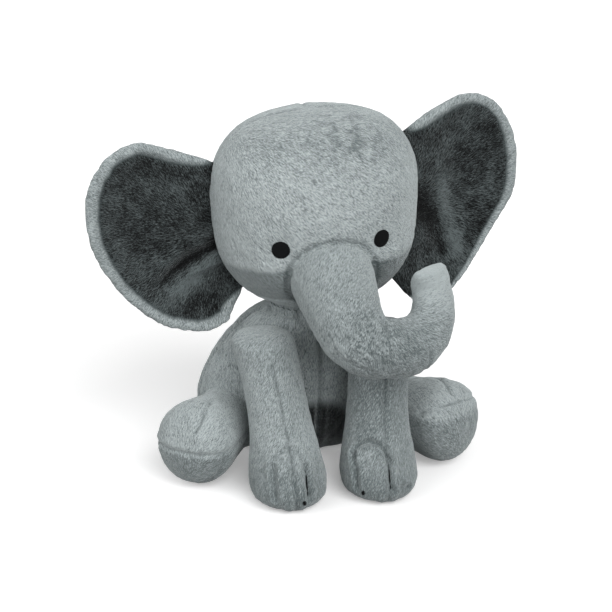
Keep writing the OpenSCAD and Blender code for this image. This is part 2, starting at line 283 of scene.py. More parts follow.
def line_tree(*points):
    """Points half a millimetre apart along a smooth line through the given points."""
    p = [Vector(q) for q in points]
    out = []
    for i in range(len(p) - 1):
        a, b, c, d = p[max(0, i - 1)], p[i], p[i + 1], p[min(len(p) - 1, i + 2)]
        count = max(2, int((c - b).length / (0.5 * MM)))
        for k in range(count):
            t = k / count
            out.append(b + 0.5 * t * ((c - a) + t * ((2 * a - 5 * b + 4 * c - d)
                                                     + t * (3 * b - a - 3 * c + d))))
    return point_tree(out + [p[-1]])


def bell(distance, width):
    """1 at no distance, falling to 0 over about twice the width in millimetres."""
    return np.exp(-(distance / (width * MM)) ** 2)


def step(values, start, end):
    """0 before start, 1 after end, and smooth between them."""
    t = np.clip((values - start) / (end - start), 0, 1)
    return t * t * (3 - 2 * t)


def tangent(field, normal):
    """The part of a direction field that lies in the surface."""
    field = np.broadcast_to(np.asarray(field, float), normal.shape)
    flat = field - normal * (field * normal).sum(1, keepdims=True)
    return flat / (np.linalg.norm(flat, axis=1, keepdims=True) + 1e-9)


def write(mesh, name, values):
    """Stores a field on the mesh, where its material can read it."""
    kind = "FLOAT" if values.ndim == 1 else "FLOAT_VECTOR"
    layer = mesh.attributes.get(name) or mesh.attributes.new(name, kind, "POINT")
    layer.data.foreach_set("value" if values.ndim == 1 else "vector",
                           values.astype(np.float32).ravel())


class Surface:
    """A dense skin being worked on: its points, its normals, and the fields its material reads."""

    def __init__(self, obj):
        self.obj = obj
        self.co = points_of(obj.data)
        self.normal = normals_of(obj.data)
        self.seam = np.zeros(len(self.co))
        self.tone = np.zeros(len(self.co))
        self.mask = np.zeros(len(self.co))

    def update(self):
        set_points(self.obj.data, self.co)
        self.normal = normals_of(self.obj.data)

    def raise_by(self, amount):
        self.co = self.co + self.normal * (amount * MM)[:, None]

    def groove(self, d, depth=1.5, width=1.5, bulge=0.5, share=1.0):
        """A seam: a groove with fabric that rolls up beside it."""
        self.raise_by(share * (bulge * bell(abs(d) - 3.4 * MM, 2.2) - depth * bell(d, width)))
        self.seam = np.maximum(self.seam, share * bell(d, 0.75))

    def sew(self, tree, depth=1.5, width=1.5, bulge=0.5, share=1.0):
        self.groove(distance_to(tree, self.co), depth, width, bulge, share)

    def crease(self, *points, depth=1.5, width=2.0, ridge=0.6, painted_shade=0.25, share=1.0):
        d = distance_to(line_tree(*points), self.co)
        self.raise_by(share * (ridge * bell(d - 2.2 * width * MM, width) - depth * bell(d, width)))
        # Painted shade darkens the bottom of each crease
        self.tone -= painted_shade * share * bell(d, width)

    def near(self, point, width):
        """1 at a point, falling to 0 over about twice the width in millimetres."""
        return bell(np.linalg.norm(self.co - np.asarray(point), axis=1), width)

    def swell(self, centre, height, width):
        self.raise_by(height * self.near(centre, width))

    def rest_on_floor(self):
        self.co[:, 2] = np.maximum(self.co[:, 2], OFF_FLOOR)
        self.update()

    def pile(self, nap, depth=0.3, seed=1):
        """Tufts of pile lying along the nap, parted at the seams."""
        self.update()
        nap = tangent(nap, self.normal)
        clumps = streaks(self.co, nap, 2.6, 4.5, seed)
        tufts = streaks(self.co, nap, 1.25, 3.0, seed + 1)
        open_pile = 1 - 0.7 * self.seam
        self.raise_by((0.55 * clumps + tufts) * depth * open_pile)
        self.update()
        self.tone += 0.15 * clumps + 0.15 * noise(self.co / (9 * MM), seed + 2)
        mesh = self.obj.data
        write(mesh, "rest", self.co)
        write(mesh, "nap", nap)
        write(mesh, "seam", self.seam)
        write(mesh, "tone", self.tone)
        write(mesh, "mask", self.mask)
        mesh.shade_smooth()
        return self.obj


# ---- Materials ----

class Nodes:
    """A material's node tree, with short ways to add and join nodes."""

    def __init__(self, name):
        self.material = bpy.data.materials.new(name)
        self.material.use_nodes = True
        self.tree = self.material.node_tree
        self.shader = self.tree.nodes["Principled BSDF"]

    def add(self, kind, **settings):
        node = self.tree.nodes.new(kind)
        for key, value in settings.items():
            setattr(node, key, value)
        return node

    def join(self, source, target):
        self.tree.links.new(source, target)

    def value(self, socket, source):
        if isinstance(source, (int, float, tuple)):
            socket.default_value = source
        else:
            self.join(source, socket)

    def maths(self, operation, a, b=0.0, clamp=False):
        node = self.add("ShaderNodeMath", operation=operation, use_clamp=clamp)
        self.value(node.inputs[0], a)
        self.value(node.inputs[1], b)
        return node.outputs[0]

    def vector(self, operation, a, b=(0, 0, 0), scale=1.0):
        node = self.add("ShaderNodeVectorMath", operation=operation)
        self.value(node.inputs[0], a)
        if operation == "SCALE":
            self.value(node.inputs["Scale"], scale)
        else:
            self.value(node.inputs[1], b)
        return node.outputs[0]

    def attribute(self, name, vector=False):
        node = self.add("ShaderNodeAttribute", attribute_name=name)
        return node.outputs["Vector" if vector else "Fac"]

    def noise(self, where, per_mm, detail=1.0, roughness=0.5):
        node = self.add("ShaderNodeTexNoise")
        node.inputs["Scale"].default_value = per_mm / MM
        node.inputs["Detail"].default_value = detail
        node.inputs["Roughness"].default_value = roughness
        self.join(where, node.inputs["Vector"])
        return node.outputs["Fac"]

    def mix(self, factor, a, b):
        node = self.add("ShaderNodeMix", data_type="RGBA")
        self.value(node.inputs["Factor"], factor)
        self.value(node.inputs[6], a)
        self.value(node.inputs[7], b)
        return node.outputs[2]

    def bump(self, height, distance, strength=1.0, below=None):
        node = self.add("ShaderNodeBump")
        node.inputs["Distance"].default_value = distance * MM
        node.inputs["Strength"].default_value = strength
        self.join(height, node.inputs["Height"])
        if below is not None:
            self.join(below, node.inputs["Normal"])
        return node.outputs["Normal"]


def grey(level):
    """A cool grey, from its sRGB level out of 255."""
    levels = (level - min(8, 0.25 * level), level, level + 0.8)
    return tuple(((v / 255 + 0.055) / 1.055) ** 2.4 for v in levels) + (1.0,)


def plush(name, light, other=None, swing=(0.6, 1.3), sheen=0.6):
    """Short minky pile: light tips over darker roots, in streaks along the nap.

    light is its sRGB level. Where the skin's mask is up, a second colour at the level other shows,
    and swing gives its darkest and lightest pile as shares of that level. On the belly this second
    colour is painted shadow.
    """
    n = Nodes(name)
    rest, nap = n.attribute("rest", True), n.attribute("nap", True)
    streak = None
    taps = (-0.6, -0.3, 0.0, 0.3, 0.6)
    for reach in taps:
        where = n.vector("ADD", rest, n.vector("SCALE", nap, scale=reach * MM))
        tap = n.noise(where, 1.9, 1.0)
        streak = tap if streak is None else n.maths("ADD", streak, tap)
    streak = n.maths("MULTIPLY", streak, 1 / len(taps))
    fine = n.noise(rest, 3.4, 2.0, 0.7)
    mottle = n.noise(rest, 0.16, 2.0)

    def contrast(field, amount):
        return n.maths("MULTIPLY", n.maths("SUBTRACT", field, 0.5), amount)

    pile = n.maths("ADD", contrast(streak, 4.4), contrast(fine, 2.3))
    pile = n.maths("ADD", pile, n.maths("MULTIPLY", n.attribute("tone"), 0.45))
    pile = n.maths("ADD", pile, contrast(mottle, 0.3))
    level = n.maths("ADD", pile, 0.55, clamp=True)
    roots, tips, whitest, in_seam = light * 0.62, light * 1.16, 225, light * 0.45
    colour = n.mix(level, grey(roots), grey(min(tips, whitest)))
    if other:
        # Tufts of each colour stand over the edge between the two
        edge = n.maths("ADD", n.attribute("mask"), n.maths("MULTIPLY", pile, 0.12))
        edge = n.maths("MULTIPLY", n.maths("SUBTRACT", edge, 0.42), 4.0, clamp=True)
        second = n.mix(level, grey(other * swing[0]), grey(other * swing[1]))
        colour = n.mix(edge, colour, second)
    colour = n.mix(n.maths("MULTIPLY", n.attribute("seam"), 0.55), colour, grey(in_seam))
    n.join(colour, n.shader.inputs["Base Color"])
    soft = n.bump(mottle, 0.5, 0.5)
    tufts = n.bump(streak, 1.2, 1.0, soft)
    n.join(n.bump(fine, 0.3, 0.8, tufts), n.shader.inputs["Normal"])
    s = n.shader.inputs
    s["Roughness"].default_value = 0.95
    s["Specular IOR Level"].default_value = 0.12
    s["Sheen Weight"].default_value = sheen
    s["Sheen Roughness"].default_value = 0.4
    s["Sheen Tint"].default_value = (0.86, 0.93, 0.94, 1)
    return n.material


def thread(name, level, ridge=0.12, shine=0.1):
    """Twisted embroidery thread."""
    n = Nodes(name)
    where = n.add("ShaderNodeTexCoord").outputs["Object"]
    wave = n.add("ShaderNodeTexWave", wave_type="BANDS", bands_direction="DIAGONAL")
    wave.inputs["Scale"].default_value = 0.9 / MM
    wave.inputs["Distortion"].default_value = 1.5
    n.join(where, wave.inputs["Vector"])
    fibre = n.noise(where, 4.0, 2.0)
    shade = n.maths("MULTIPLY", wave.outputs["Fac"], fibre)
    n.join(n.mix(shade, grey(level * 0.7), grey(level * 1.35)),
           n.shader.inputs["Base Color"])
    n.join(n.bump(shade, ridge, 0.8), n.shader.inputs["Normal"])
    n.shader.inputs["Roughness"].default_value = 0.8
    n.shader.inputs["Specular IOR Level"].default_value = shine
    return n.material


def fibre_fill():
    """Loose crimped polyester fibre."""
    n = Nodes("fibre_fill")
    where = n.add("ShaderNodeTexCoord").outputs["Object"]
    web = n.noise(where, 0.55, 6.0, 0.75)
    lump = n.noise(where, 0.1, 2.0)
    n.join(n.mix(web, (0.62, 0.61, 0.58, 1), (0.95, 0.94, 0.92, 1)), n.shader.inputs["Base Color"])
    n.join(n.bump(web, 0.8, 0.8, n.bump(lump, 2.0, 0.6)), n.shader.inputs["Normal"])
    n.shader.inputs["Roughness"].default_value = 0.9
    n.shader.inputs["Sheen Weight"].default_value = 0.4
    return n.material


def label_tape():
    """Woven satin tape, with a fine weave."""
    n = Nodes("label_tape")
    where = n.add("ShaderNodeTexCoord").outputs["Object"]
    weave = n.add("ShaderNodeTexBrick")
    weave.inputs["Scale"].default_value = 1.2 / MM
    weave.inputs["Mortar Size"].default_value = 0.03
    n.join(where, weave.inputs["Vector"])
    slub = n.noise(where, 0.8, 3.0)
    n.join(n.mix(slub, (0.72, 0.73, 0.72, 1), (0.86, 0.86, 0.84, 1)), n.shader.inputs["Base Color"])
    n.join(n.bump(weave.outputs["Fac"], 0.08, 0.7), n.shader.inputs["Normal"])
    n.shader.inputs["Roughness"].default_value = 0.5
    return n.material


# ---- Skins ----

HEAD = ["face_panel", "cheek_left", "cheek_right", "chin_panel", "head_back_left",
        "head_back_right"]
TORSO = ["torso_front_left", "torso_front_right", "torso_back_left", "torso_back_right",
         "seat_panel"]
TRUNK_ROOT = ["trunk_root_top", "trunk_root_under"]
TRUNK_TIP = ["trunk_tip_top", "trunk_tip_under", "trunk_tip_end"]
TRUNK_FIBRE = ["trunk_root_stuffing", "trunk_tip_stuffing"]
bends = {}              # for each body that bends, how its pieces cross its joint


def bend_across(obj, first, second, start, end):
    """Records which joint between two bodies a piece crosses, and bakes its place into its mesh. What fills it is
    baked the same way.
    """
    bends[second] = first, second, start, end
    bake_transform(obj)


def dress(obj, material):
    obj.data.materials.clear()
    obj.data.materials.append(material)


def finish_skin(surface, material, body, replaced, nap, seed=1, depth=0.3):
    obj = surface.pile(nap, depth, seed)
    dress(obj, material)
    if body:
        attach(obj, body)
    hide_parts(*replaced)
    return obj


def sign_of(side):
    """1 on the toy's left, and -1 on its right."""
    return 1 if side == "left" else -1


def make_head(material):
    seams = seam_tree(HEAD)
    obj = remesh(from_nodes("head_skin", HEAD, hull=True), 3.5)
    smooth(obj, 14)
    puff(obj, 3.0, 3.0, seams)
    s = Surface(subdivide(obj, 2))
    # The sides are full, at the cheeks and again above the eyes
    centre = np.array(middle("head_stuffing"))
    rel = s.co - centre
    beside = step(np.abs(rel[:, 0]), 0.015, 0.045)
    cheek = bell(rel[:, 2] + 0.030, 26) * step(-rel[:, 1], -0.03, 0.01)
    s.raise_by(3.4 * cheek * beside)
    s.raise_by(2.6 * bell(rel[:, 2] - 0.030, 24) * beside)
    s.swell(centre + (0.042, -0.01, 0.040), 2.8, 28)
    s.update()
    cheeks = tree_of("cheek_left", "cheek_right")
    others = tree_of("face_panel", "chin_panel", "head_back_left", "head_back_right")
    past = np.array([cheeks.find_nearest(p)[3] - others.find_nearest(p)[3] for p in s.co])
    s.mask = 1 / (1 + np.exp(past / (0.5 * MM)))
    for side in ("right", "left"):
        sign, eye = sign_of(side), middle(f"eye_{side}")
        s.swell(pivots["trunk_lift"] + mm(31 * sign, -4, -10), 3.2, 14)
        s.swell(eye, -1.6, 9)
        dart = eye + mm(11 * sign, 6, -11)
        s.crease(dart, dart + mm(2 * sign, 1, -7), depth=1.0, width=1.0)
    s.update()
    s.sew(seams, 0.8, 1.2, 0.2)
    down = s.co - centre
    nap = np.stack([0.06 + 0.3 * down[:, 0], 0.1 * down[:, 1], np.full(len(down), -0.05)], axis=1)
    # The face dips round the trunk, with painted shade round it, and painted shade darkens the cheek on the toy's
    # left
    trunk = tree_of(*TRUNK_ROOT)
    ring = bell(np.array([trunk.find_nearest(p)[3] for p in s.co]) - 2.5 * MM, 1.7)
    s.raise_by(-0.7 * ring)
    s.update()
    s.tone -= ring + 0.8 * s.mask * step(down[:, 0], 0.01, 0.03)
    # The pile on the crown is rubbed into streaks; painted shade darkens the top of the head, and the rest of it
    # is a little lighter
    crown = bell(np.linalg.norm(down - (0.012, -0.03, 0.05), axis=1), 26)
    s.tone -= 0.8 * crown * step(streaks(s.co, nap, 3.0, 8.0, 7), -0.2, 0.5)
    s.tone += 0.1 - 0.45 * step(down[:, 2], 0.025, 0.050)
    return finish_skin(s, material, "head", HEAD, nap, 11)


def make_torso(material):
    seams = seam_tree(TORSO[:4])
    obj = remesh(from_nodes("torso_skin", TORSO, hull=True), 3.4)
    smooth(obj, 14)
    puff(obj, 3.0, 3.0, seams)
    s = Surface(subdivide(obj, 2))
    seat = np.clip(1 - s.co[:, 2] / (6 * MM), 0, 1)
    s.sew(seams, 1.8, 1.6, 0.7)
    # Folds fan out over the hips and behind the shoulders
    for side in ("right", "left"):
        sign = sign_of(side)
        hip, shoulder = pivots[f"hind_leg_{side}_spread"], pivots[f"front_leg_{side}_swing"]
        for k in range(4):
            a = hip + mm(sign * (14 - 4 * k), -6 + 12 * k, 30 + 2 * k)
            b = a + mm(-6 * sign, 2, 14 + 4 * (k % 2))
            s.crease(a, a.lerp(b, 0.5) + mm(sign, 2, 0), b, depth=1.5, width=1.7)
        for k in range(3):
            a = shoulder + mm(sign * (12 - 3 * k), 18 + 4 * k, 4 - 10 * k)
            s.crease(a, a + mm(12 * sign, 12, -10), depth=0.9, width=2.6, painted_shade=0.15)
    s.rest_on_floor()
    # Painted shadow: the belly between the legs takes the plush's dark second colour
    low, ahead = step(-s.co[:, 2], -0.065, -0.025), step(-s.normal[:, 1], 0.1, 0.6)
    s.mask = 0.95 * low * bell(s.co[:, 0], 30) * ahead
    # Painted shade darkens the seat where it meets the floor
    s.tone -= 0.3 * seat
    nap = np.stack([0.2 * s.normal[:, 0], 0.1 * s.normal[:, 1], np.full(len(s.co), -1.0)], axis=1)
    return finish_skin(s, material, "torso", TORSO, nap, 21, 0.32)


def join_to(s, skin, weight, sink):
    """Draws the weighted points on to another skin, and sinks them into it."""
    tree = skin_tree(skin)
    for i in np.flatnonzero(weight > 0.01):
        at, normal = tree.find_nearest(s.co[i])[:2]
        s.co[i] += weight[i] * (np.array(at - normal * sink * MM) - s.co[i])
    s.update()


def gaps_to(s, skin):
    """How far each point stands off another skin. Points inside it count as touching."""
    tree, gaps = skin_tree(skin), []
    for p in s.co:
        at, normal, _, far = tree.find_nearest(p)
        gaps.append(far if (Vector(p) - at).dot(normal) > 0 else 0.0)
    return np.array(gaps)


def show_lining(s, side, head):
    """Masks the lining of an ear, and the back panel that turns over as its rim."""
    name = f"ear_{side}"
    lining, back = tree_of(f"{name}_lining"), tree_of(f"{name}_back")
    past = np.array([lining.find_nearest(p)[3] - back.find_nearest(p)[3] for p in s.co])
    past -= LINING_REACH * MM
    facing = Vector(np.mean([v.normal for v in nodes[f"{name}_lining"].data.vertices
                             if v.normal.y < -0.3], axis=0)).normalized()
    edge_on = np.abs(s.normal @ np.array(facing)) < 0.4
    edge = np.flatnonzero(edge_on & (gaps_to(s, head) > 0.018))
    rim = RIM * MM
    if side == "left":
        # On this ear the light rim is widened along the top as painted light where the fabric curves away, and it
        # narrows down the outside
        rim *= 0.35 + 0.5 * step(s.co[:, 2] - pivots[f"{name}_flap"].z, 0.020, 0.045)
    past = np.maximum(past, rim - distance_to(point_tree(s.co[edge]), s.co))
    s.mask = 1 / (1 + np.exp(past / (0.9 * MM)))
    s.groove(past, 0.7, 1.3, 0.3)


def make_ear(side, head, material):
    name, sign = f"ear_{side}", sign_of(side)
    parts = [f"{name}_back", f"{name}_lining"]
    obj = remesh(from_nodes(f"{name}_skin", parts + [f"{name}_batting"]), 2.0)
    smooth(obj, 16)
    puff(obj, 1.5, 1.2)
    s = Surface(subdivide(obj, 1))
    show_lining(s, side, head)
    # The left ear tapers below and its inner lobe hangs lower, and the right one spreads wider
    hinge = pivots[f"{name}_flap"]
    rel = s.co - np.array(hinge)
    outward = rel[:, 0] * sign
    below, above = step(-rel[:, 2], -0.005, 0.03), step(rel[:, 2], 0.0, 0.03)
    if side == "left":
        lobe = step(-rel[:, 2], 0.015, 0.05) * (1 - step(outward, 0.015, 0.05))
        s.co[:, 0] -= 0.11 * below * step(outward, 0.01, 0.06) * rel[:, 0]
        s.co[:, 2] -= 0.009 * lobe
        s.co[:, 2] += 0.05 * above * rel[:, 2]
        fold = ((12, 2, 4), (17, 2, -16), (22, 2, -36))
        depth, beside = 1.4, (9, 0, 2)
    else:
        s.co[:, 0] += 0.03 * (1 - below) * rel[:, 0]
        fold = ((4, -4, -4), (24, 0, -22), (46, -2, -38))
        depth, beside = 3.0, (-4, 0, -10)
    s.update()
    # A fold runs from the seam and fades out before the rim, with a raised ridge beside it, and painted shade in
    # the fold
    fold = [hinge + mm(sign * x, y, z) for x, y, z in fold]
    fades = 1 - step(outward, 0.018, 0.050)
    s.crease(*fold, depth=depth, width=3.6, ridge=0.6 * depth, painted_shade=1.5, share=fades)
    # Puckers where the ear is sewn on, and one fold below them
    for k in range(3):
        a = hinge + mm(sign * (1 + 2 * k), -6, 24 + 6 * k)
        s.crease(a, a + mm(12 * sign, 0, 4), depth=1.3, width=1.3, ridge=0.7)
    a = hinge + mm(6 * sign, -4, -26)
    s.crease(a, a + mm(22 * sign, 0, -6), depth=1.4, width=2.2)
    s.update()
    nap = (s.co - np.array(hinge)) * (1, 0.2, 1)
    join_to(s, head, 1 - step(gaps_to(s, head), 0.007, 0.021), 3.0)
    # A painted highlight along the ridge beside the fold, with blotches over a darker lining
    ridge = [q + mm(sign * beside[0], beside[1], beside[2]) for q in fold]
    lit = bell(distance_to(line_tree(*ridge), s.co), 7)
    blotch = noise(s.co / (5 * MM), 5) + 0.9 * noise(s.co / (12 * MM), 6)
    s.tone += s.mask * (1.5 * lit + 0.4 * blotch - 0.75)
    obj = finish_skin(s, material, None, parts, nap, 31 + sign, 0.26)
    away = mm(12 * sign, 0, 0)
    bend_across(obj, "head", name, hinge - away, hinge + away)
    return obj


def spine_nap(co, path):
    """Along the path, at the part of it nearest to each point."""
    path = np.array(path)
    mids, steps = (path[1:] + path[:-1]) / 2, path[1:] - path[:-1]
    steps /= np.linalg.norm(steps, axis=1, keepdims=True)
    w = np.exp(-(np.linalg.norm(co[:, None] - mids[None], axis=2) / (14 * MM)) ** 2) + 1e-9
    return (w[..., None] * steps[None]).sum(1)


def blunt_tip(s, tip):
    """Rounds the end of the trunk to its full width, and flattens its top."""
    radius, top = 12.5 * MM, 143.5 * MM
    s.raise_by(2.6 * s.near(tip, 13))
    off = s.co - np.array(tip - mm(0, 0, 6.5))
    far = np.linalg.norm(off, axis=1, keepdims=True)
    end = 1 - step(far[:, 0], 0.020, 0.030)
    held = (end * step(off[:, 2], 0.0, 0.004))[:, None]
    s.co -= held * off / far * np.maximum(far - radius, 0)
    s.update()
    s.swell(mm(50, -64, 142), 4.5, 7)
    s.co[:, 2] -= 0.75 * np.maximum(s.co[:, 2] - top, 0) * end
    s.update()


def make_trunk(material):
    """The whole trunk as one skin, then as the two pieces that are shown."""
    root, bend = pivots["trunk_lift"], pivots["trunk_curl"]
    tip = middle("trunk_tip_end")
    obj = remesh(from_nodes("trunk_skin", TRUNK_FIBRE + TRUNK_TIP[2:]), 2.4)
    smooth(obj, 16)
    inflate(obj, 3.0)
    smooth(obj, 6)
    puff(obj, 1.5, 2.0)
    s = Surface(subdivide(obj, 2))
    for pair in (TRUNK_ROOT, TRUNK_TIP[:2]):
        s.sew(seam_tree(pair), 0.3, 1.0, 0.15)
    s.seam *= 0.35
    blunt_tip(s, tip)
    for k in range(5):
        c = bend + Vector((-0.020 + 0.009 * k, -0.012, 0.004 * math.cos(k)))
        half = mm((-1) ** k, -6, 10 + 2 * (k % 3))
        s.crease(c - half, c, c + half, depth=0.8, width=1.3, ridge=0.3)
    s.update()
    along = spine_nap(s.co, [root, root.lerp(bend, 0.5), bend, bend.lerp(tip, 0.45) + mm(12, 0, -6),
                             tip])
    along = tangent(along, s.normal)
    nap = 0.5 * along + np.cross(along, s.normal)
    lit = np.clip(1 - np.linalg.norm(s.co - np.array(root), axis=1) / 0.03, 0, 1)
    # Crinkled pile on the outside of the bend, with painted shade in the crinkle lines
    crinkle = streaks(s.co, along, 1.7, 5.5, 91)
    crinkle /= crinkle.std()
    lines = np.exp(-(crinkle / 0.3) ** 2)
    at_bend = s.near(mm(12, -90, 110), 26)
    s.raise_by(at_bend * (0.25 * crinkle - 0.35 * lines))
    s.update()
    s.tone += at_bend * (0.2 * crinkle + 0.1 - 1.5 * lines)
    # Painted light near the root and at the tip, and painted shade at the bend
    s.tone += 0.5 * lit - 0.9 * s.near(bend, 24) + 2.2 * s.near(tip, 24)
    obj = s.pile(nap, 0.34, 41)
    dress(obj, material)
    split_trunk(obj)
    return obj


def trunk_cut():
    """The middle of the ring where the trunk is parted, and the way that the trunk runs there."""
    root, bend = pivots["trunk_lift"], pivots["trunk_curl"]
    ahead = (bend - root).normalized()
    return root + ahead * ((bend - root).length * PARTED_AT), ahead


def keep_beside_cut(obj, side):
    """Keeps the part of a piece before the cut (side -1) or after it (side 1), and closes it."""
    cut, ahead = trunk_cut()
    bm = bmesh.new()
    bm.from_mesh(obj.data)
    gone = [f for f in bm.faces if (f.calc_center_median() - cut).dot(ahead) * side < 0]
    bmesh.ops.delete(bm, geom=gone, context="FACES")
    bm.to_mesh(obj.data)
    bm.free()
    keep_largest(obj)
    close_end(obj)


def split_trunk(obj):
    """Two pieces that share one ring, so that each crosses one joint."""
    root, bend = pivots["trunk_lift"], pivots["trunk_curl"]
    cut, ahead = trunk_cut()
    pieces = []
    for side, name, replaced in ((-1, "trunk_root_skin", TRUNK_ROOT),
                                 (1, "trunk_tip_skin", TRUNK_TIP)):
        piece = new_object(name, obj.data.copy())
        keep_beside_cut(piece, side)
        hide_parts(*replaced)
        pieces.append(piece)
    bend_across(pieces[0], "head", "trunk_root", root - ahead * 0.004, root + ahead * 0.026)
    bend_across(pieces[1], "trunk_root", "trunk_tip", cut + ahead * 0.006, bend + mm(12, 0, 0))


def close_end(obj):
    bm = bmesh.new()
    bm.from_mesh(obj.data)
    rim = [e for e in bm.edges if e.is_boundary]
    for e in rim:
        e.smooth = False
    made = bmesh.ops.holes_fill(bm, edges=rim, sides=0)["faces"]
    bmesh.ops.triangulate(bm, faces=made)
    bm.to_mesh(obj.data)
    bm.free()


def leg_skin(name, seams, voxel):
    """A leg, grown from its filling to the size of its cover."""
    obj = remesh(from_nodes(f"{name}_skin", [f"{name}_stuffing"]), voxel)
    smooth(obj, 8)
    inflate(obj, 2.5)
    smooth(obj, 3)
    puff(obj, 2.5, 2.5, seams)
    return Surface(subdivide(obj, 2))


def on_front(tree, x, y, z):
    """Where a line that runs back from x, y, z meets a skin."""
    return tree.ray_cast(Vector((x, y, z)), Vector((0, 1, 0)))[0]


def pull_toes(s, side):
    """Creases under the toe threads, and a horseshoe of pulled pile above them."""
    lo, hi = (Vector(c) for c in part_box(f"front_leg_{side}_toe_stitches"))
    front, ahead = skin_tree(s.obj), lo.y - 0.03
    strong = 1.0 if side == "left" else 0.5
    inner, outer = (x * MM for x in THREADS[side])
    for x in (inner, outer):
        path = [on_front(front, x, ahead, hi.z + dz * MM) for dz in (3, -5, -14)]
        s.crease(*path, depth=2.2, width=1.6, ridge=0.9)
    mid, half = (inner + outer) / 2, (outer - inner) / 2
    arch = [on_front(front, mid + half * math.sin(a), ahead, hi.z + (1 + 11 * math.cos(a)) * MM)
            for a in np.linspace(-1.5, 1.5, 7)]
    s.crease(*arch, depth=2.4 * strong, width=1.7, ridge=0.7, painted_shade=0.7 * strong)
    s.crease(on_front(front, outer, ahead, lo.z + 0.005),
             on_front(front, outer + 0.012, ahead, lo.z + 0.003),
             depth=1.6 * strong, width=1.3, painted_shade=0.7 * strong)


def make_front_leg(side, material):
    name, sign = f"front_leg_{side}", sign_of(side)
    parts = [f"{name}_outer", f"{name}_inner", f"{name}_sole"]
    seams = seam_tree(parts[:2])
    s = leg_skin(name, seams, 2.8)
    # The shoulder is flattened under the neck
    shoulder = pivots[f"{name}_swing"]
    above = s.co[:, 2] - shoulder.z
    s.co[:, 2] -= np.maximum(above, 0) * 0.7
    s.update()
    s.sew(seams, 1.2, 1.3, 0.6, 1 - step(s.co[:, 2], shoulder.z - 0.020, shoulder.z))
    pull_toes(s, side)
    for k in range(3):
        a = shoulder + mm(-sign * (6 + 3 * k), -18, -6 - 11 * k)
        s.crease(a, a + mm(-7 * sign, 4, -8), depth=1.1, width=1.5)
    s.rest_on_floor()
    # Painted shade darkens the leg towards the floor
    s.tone -= 0.9 * step(-s.co[:, 2], -0.040, -0.010)
    if side == "left":
        # Painted shadow of the trunk darkens the top of this leg
        s.tone -= 0.75 * step(s.co[:, 2], 0.020, 0.045)
    nap = np.stack([0.1 * s.normal[:, 0] - 0.4, 0.2 * s.normal[:, 1], np.full(len(s.co), -1.0)],
                   axis=1)
    obj = finish_skin(s, material, None, parts, nap, 51 + sign)
    bend_across(obj, "torso", name, shoulder + mm(0, 12, 8), shoulder + mm(0, -10, -22))
    return obj


def make_hind_leg(side, material):
    name, sign = f"hind_leg_{side}", sign_of(side)
    parts = [f"{name}_upper", f"{name}_lower", f"{name}_sole"]
    seams = seam_tree(parts)
    s = leg_skin(name, seams, 3.0)
    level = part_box(f"{name}_lower")[1][2]
    if side == "right":
        s.sew(seams, 1.0, 1.3, 0.4)
    else:
        # This foot is rolled on its filling, so its level seam stands higher in front
        s.sew(seams, 1.0, 1.3, 0.4, step(s.co[:, 1], -0.020, -0.004))
        s.sew(line_tree(*[mm(*c) for c in ROLLED_SEAM]), 1.0, 1.2, 0.4)
        level += 0.010 * step(-s.co[:, 1], 0.004, 0.020)
    hip, sole = pivots[f"{name}_spread"], middle(f"{name}_sole")
    along = (sole - hip).normalized()
    # The toe cap is sewn on across the instep, and the pile is pulled up beside it
    cap = [mm(sign * x, y, z) for x, y, z in CAP_SEAM[side]]
    pulled = [c - mm(6 * sign, 0, 0) for c in cap]
    s.sew(line_tree(*cap), 1.0, 1.1, 0.4)
    s.crease(cap[-1], cap[-1] + mm(-6 * sign, 12, 4), depth=1.4, width=2.0, painted_shade=0.6)
    s.tone += 0.5 * bell(distance_to(line_tree(*pulled), s.co), 4.5)
    s.rest_on_floor()
    # Painted shade darkens the foot below its level seam, and the leg above it is a little lighter
    s.tone += 0.15 - 0.85 * step(level - s.co[:, 2], -0.001, 0.004)
    nap = np.broadcast_to(np.array(along + Vector((0, 0, -0.35))), s.co.shape)
    obj = finish_skin(s, material, None, parts, nap, 61 + sign, 0.32)
    bend_across(obj, "torso", name, hip + along * 0.004, hip + along * 0.034)
    return obj


def make_tail(material):
    obj = remesh(from_nodes("tail_skin", ["tail_cover", "tail_stuffing"]), 1.3)
    smooth(obj, 5)
    s = Surface(subdivide(obj, 1))
    s.sew(line_tree(*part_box("tail_cover")), depth=0, width=1, bulge=0)
    nap = np.broadcast_to(np.array((0, 0.2, -1.0)), s.co.shape)
    obj = finish_skin(s, material, None, ["tail_cover"], nap, 71, 0.25)
    root = pivots["tail_lift"]
    bend_across(obj, "torso", "tail", root, root + mm(0, 10, -3))
    return obj


def make_neck(material):
    """The short neck: fabric gathered over the filling where head and torso are sewn together."""
    gathers = 17
    obj = remesh(from_nodes("neck_skin", ["neck_stuffing"]), 2.6)
    smooth(obj, 3)
    s = Surface(subdivide(obj, 1))
    rel = s.co - np.array(pivots["neck_nod"])
    turn = np.arctan2(rel[:, 1], rel[:, 0])
    uneven = 0.5 * noise(s.co / (5 * MM), 3)
    s.raise_by(bell(rel[:, 2], 12) * (0.8 * np.cos(gathers * turn) + uneven))
    s.update()
    nap = np.broadcast_to(np.array((0, 0, -1.0)), s.co.shape)
    return finish_skin(s, material, "neck", ["neck_stuffing"], nap, 81)


# ---- Stitches, eyes, label ----

def grid_mesh(name, rows):
    """A skin over rows of points. Each row is closed, and the first and last are filled."""
    bm = bmesh.new()
    rings = [[bm.verts.new(p) for p in row] for row in rows]
    for a, b in zip(rings, rings[1:]):
        for i in range(len(a)):
            j = (i + 1) % len(a)
            bm.faces.new((a[i], a[j], b[j], b[i]))
    bm.faces.new(reversed(rings[0]))
    bm.faces.new(rings[-1])
    bmesh.ops.recalc_face_normals(bm, faces=bm.faces)
    mesh = bpy.data.meshes.new(name)
    bm.to_mesh(mesh)
    bm.free()
    mesh.shade_smooth()
    return new_object(name, mesh)


def finish_detail(obj, material, body, replaced):
    obj.data.materials.append(material)
    if body:
        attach(obj, body)
    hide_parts(replaced)


